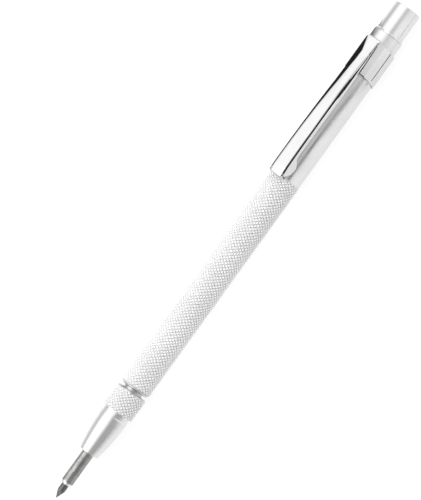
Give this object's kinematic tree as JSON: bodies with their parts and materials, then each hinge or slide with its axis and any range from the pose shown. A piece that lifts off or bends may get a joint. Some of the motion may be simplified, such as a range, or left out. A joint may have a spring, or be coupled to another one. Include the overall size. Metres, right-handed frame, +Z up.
{
  "type": "scriber",
  "caption": "Pen-style carbide scriber for marking metal: knurled aluminium barrel, screwed nose holding a reversible point, folded sheet pocket clip and a magnet in the tail cap.",
  "frame": {"origin": "under the middle of the tool's bounding box, on the surface it lies on", "axes": "+X along the tool's long axis from the point to the tail, +Y across it, +Z up with the pocket clip on top"},
  "size_m": [0.1486, 0.0088, 0.0105],
  "materials": {
    "barrel_aluminium": "satin",
    "nose_aluminium": "satin",
    "collet_brass": "satin",
    "point_steel": "ground",
    "carbide": "ground matte",
    "clip_plate": "polished",
    "cap_aluminium": "polished",
    "magnet_plate": "satin"
  },
  "bodies": {
    "barrel": {"barrel": "barrel_aluminium"},
    "collet": {"collet": "collet_brass"},
    "nose_nut": {"nose_nut": "nose_aluminium"},
    "point": {"point_shank": "point_steel", "carbide_tip": "carbide"},
    "clip_band": {"clip_band": "clip_plate"},
    "clip_tongue": {"clip_tongue": "clip_plate"},
    "tail_magnet": {"tail_magnet": "magnet_plate"},
    "tail_cap": {"tail_cap": "cap_aluminium"}
  },
  "joints": [
    {"name": "collet_travel", "type": "slide", "parent": "barrel", "child": "collet", "axis": [-1, 0, 0], "range_m": [0, 0.006]},
    {"name": "nose_nut_turn", "type": "hinge", "parent": "collet", "child": "nose_nut", "pos_m": [-0.04635, 0, 0.00443], "axis": [-1, 0, 0], "range_deg": [0, 2880]},
    {"name": "point_slide", "type": "slide", "parent": "collet", "child": "point", "axis": [-1, 0, 0], "range_m": [-0.0134, 0.006]},
    {"name": "clip_band_turn", "type": "hinge", "parent": "barrel", "child": "clip_band", "pos_m": [0.05865, 0, 0.00443], "axis": [1, 0, 0], "continuous": true},
    {"name": "clip_flex", "type": "hinge", "parent": "clip_band", "child": "clip_tongue", "pos_m": [0.06313, 0, 0.00866], "axis": [0, 1, 0], "range_deg": [0, 5], "stiffness_Nm_per_rad": 1.5, "springref_deg": -1.72},
    {"name": "cap_travel", "type": "slide", "parent": "barrel", "child": "tail_magnet", "axis": [1, 0, 0], "range_m": [0, 0.0045]},
    {"name": "tail_cap_turn", "type": "hinge", "parent": "tail_magnet", "child": "tail_cap", "pos_m": [0.06965, 0, 0.00443], "axis": [1, 0, 0], "range_deg": [0, 2160]}
  ],
  "couplings": [
    {"joint": "nose_nut_turn", "follows": "collet_travel", "rad_per_m": 8377.6},
    {"joint": "tail_cap_turn", "follows": "cap_travel", "rad_per_m": 8377.6}
  ]
}
